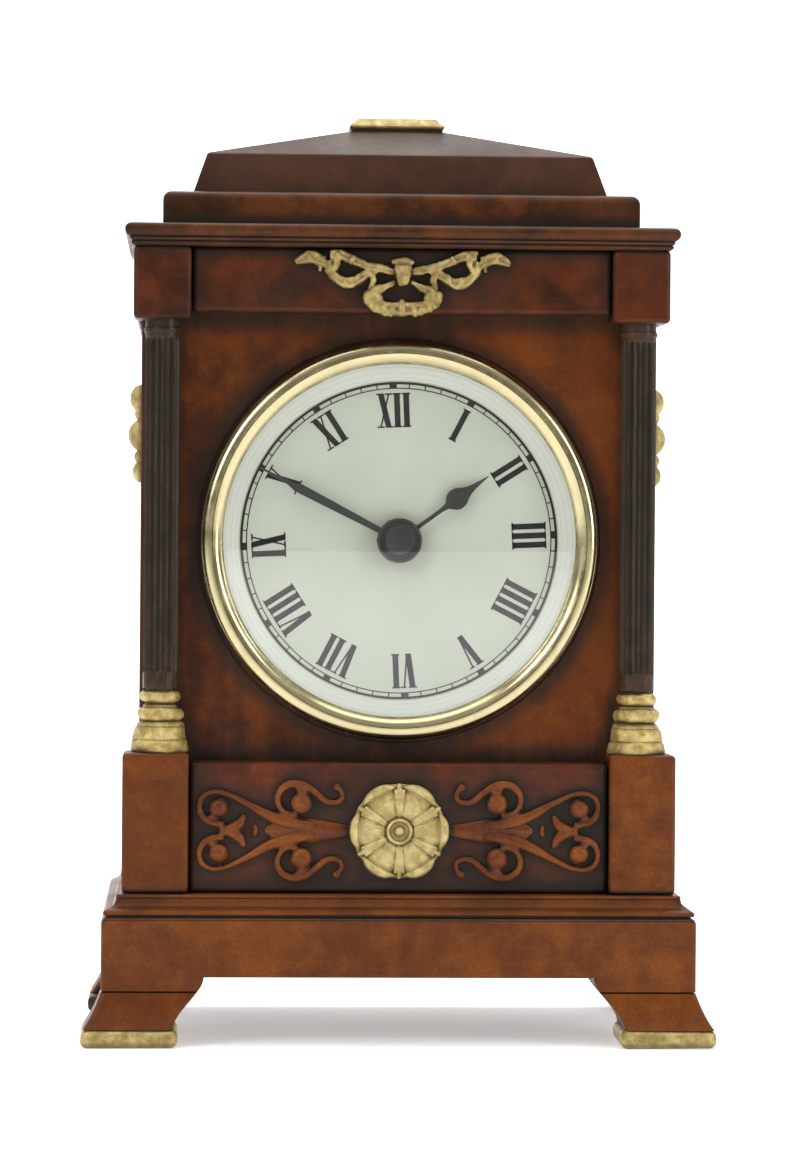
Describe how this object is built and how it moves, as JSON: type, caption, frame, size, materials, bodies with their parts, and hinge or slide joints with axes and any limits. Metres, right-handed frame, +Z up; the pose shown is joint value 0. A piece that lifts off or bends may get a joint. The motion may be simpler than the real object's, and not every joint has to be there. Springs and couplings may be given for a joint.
{
  "type": "mantel clock",
  "caption": "Wooden mantel clock with gilt mounts, fluted columns, a brass bezel, and a quartz movement reached through a rear door.",
  "frame": {"origin": "centre of the bounding box at ground level, under the feet", "axes": "+X to the clock's right as its dial is read, -Y out of the dial, +Z up"},
  "size_m": [0.162, 0.104, 0.241],
  "materials": {
    "case_red": "aged red-brown lacquer with dark glaze in the hollows",
    "case_dark": "dark brown lacquer, satin",
    "column_black": "near-black lacquer with brown edges",
    "gilt_paint": "gold paint with a brown wash",
    "brass": "polished",
    "lens_glass": "clear",
    "dial_paper": "matte off-white",
    "black_plastic": "moulded",
    "band_rubber": "matte",
    "hand_black": "satin",
    "steel": "plain",
    "gear_plastic": "natural",
    "magnet": "sintered",
    "copper_winding": "enamelled wire",
    "board": "solder mask",
    "cell_jacket": "printed jacket"
  },
  "bodies": {
    "case": {"plinth": "case_red", "foot_front_left": "case_red", "foot_front_right": "case_red", "foot_rear_left": "case_red", "foot_rear_right": "case_red", "base_moulding": "case_red", "pedestal_left": "case_red", "pedestal_right": "case_red", "side_rails": "case_red", "scroll_carvings": "case_red", "side_panel_left": "case_red", "side_panel_right": "case_red", "corner_block_left": "case_red", "corner_block_right": "case_red", "frieze_panel": "case_red", "cornice": "case_red", "top_step": "case_red", "roof": "case_red", "lower_panel": "case_dark", "front_panel": "case_dark", "column_left": "column_black", "column_right": "column_black", "foot_bands": "gilt_paint", "rosette": "gilt_paint", "column_base_left": "gilt_paint", "column_base_right": "gilt_paint", "swag_mount": "gilt_paint", "roof_cap": "gilt_paint", "side_drops": "gilt_paint", "bezel": "brass", "dial_nut": "brass", "lens": "lens_glass", "rehaut_ring": "dial_paper", "dial": "dial_paper", "insert_cup": "black_plastic", "movement_housing": "black_plastic", "movement_cover": "black_plastic", "grip_band": "band_rubber", "door_pins": "steel", "cover_screws": "steel", "stator": "steel", "battery_contacts": "steel", "coil": "copper_winding", "circuit_board": "board"},
    "door": {"rear_door": "case_dark", "door_knob": "brass"},
    "minute_works": {"minute_hand": "hand_black", "hand_nut": "hand_black", "centre_arbor": "steel"},
    "hour_works": {"hour_hand": "hand_black", "hour_wheel": "gear_plastic"},
    "motion_wheel": {"minute_wheel": "gear_plastic"},
    "setting_works": {"setting_knob": "black_plastic"},
    "centre_works": {"centre_wheel": "gear_plastic"},
    "third_works": {"third_wheel": "gear_plastic"},
    "seconds_works": {"seconds_wheel": "gear_plastic"},
    "intermediate_works": {"intermediate_wheel": "gear_plastic"},
    "motor_rotor": {"rotor": "magnet"},
    "cell": {"battery": "cell_jacket"}
  },
  "joints": [
    {"name": "minute_hand_turn", "type": "hinge", "parent": "case", "child": "minute_works", "pos_m": [0, -0.0252, 0.129], "axis": [0, 1, 0], "continuous": true},
    {"name": "hour_hand_turn", "type": "hinge", "parent": "case", "child": "hour_works", "pos_m": [0, -0.0252, 0.129], "axis": [0, 1, 0], "continuous": true},
    {"name": "minute_wheel_turn", "type": "hinge", "parent": "case", "child": "motion_wheel", "pos_m": [-0.006, -0.0252, 0.129], "axis": [0, 1, 0], "continuous": true},
    {"name": "setting_knob_turn", "type": "hinge", "parent": "case", "child": "setting_works", "pos_m": [-0.012, -0.0252, 0.129], "axis": [0, 1, 0], "continuous": true},
    {"name": "rotor_turn", "type": "hinge", "parent": "case", "child": "motor_rotor", "pos_m": [-0.00984, -0.0252, 0.14175], "axis": [0, 1, 0], "continuous": true},
    {"name": "intermediate_wheel_turn", "type": "hinge", "parent": "case", "child": "intermediate_works", "pos_m": [-0.00504, -0.0252, 0.14175], "axis": [0, 1, 0], "continuous": true},
    {"name": "seconds_wheel_turn", "type": "hinge", "parent": "case", "child": "seconds_works", "pos_m": [0.00056, -0.0252, 0.14175], "axis": [0, 1, 0], "continuous": true},
    {"name": "third_wheel_turn", "type": "hinge", "parent": "case", "child": "third_works", "pos_m": [0.00396, -0.0252, 0.13586], "axis": [0, 1, 0], "continuous": true},
    {"name": "centre_wheel_turn", "type": "hinge", "parent": "case", "child": "centre_works", "pos_m": [0, -0.0252, 0.129], "axis": [0, 1, 0], "continuous": true},
    {"name": "rear_door_swing", "type": "hinge", "parent": "case", "child": "door", "pos_m": [-0.0556, 0.044, 0.129], "axis": [0, 0, 1], "range_deg": [0, 90]},
    {"name": "battery_slide", "type": "slide", "parent": "case", "child": "cell", "axis": [0, 1, 0], "range_m": [0, 0.045]}
  ],
  "couplings": [
    {"joint": "hour_hand_turn", "follows": "minute_hand_turn", "ratio": 0.083333},
    {"joint": "minute_wheel_turn", "follows": "minute_hand_turn", "ratio": -0.33333},
    {"joint": "setting_knob_turn", "follows": "minute_hand_turn", "ratio": 1},
    {"joint": "intermediate_wheel_turn", "follows": "rotor_turn", "ratio": -0.2},
    {"joint": "seconds_wheel_turn", "follows": "rotor_turn", "ratio": 0.033333},
    {"joint": "third_wheel_turn", "follows": "rotor_turn", "ratio": -0.0044444},
    {"joint": "centre_wheel_turn", "follows": "rotor_turn", "ratio": 0.00055556}
  ]
}
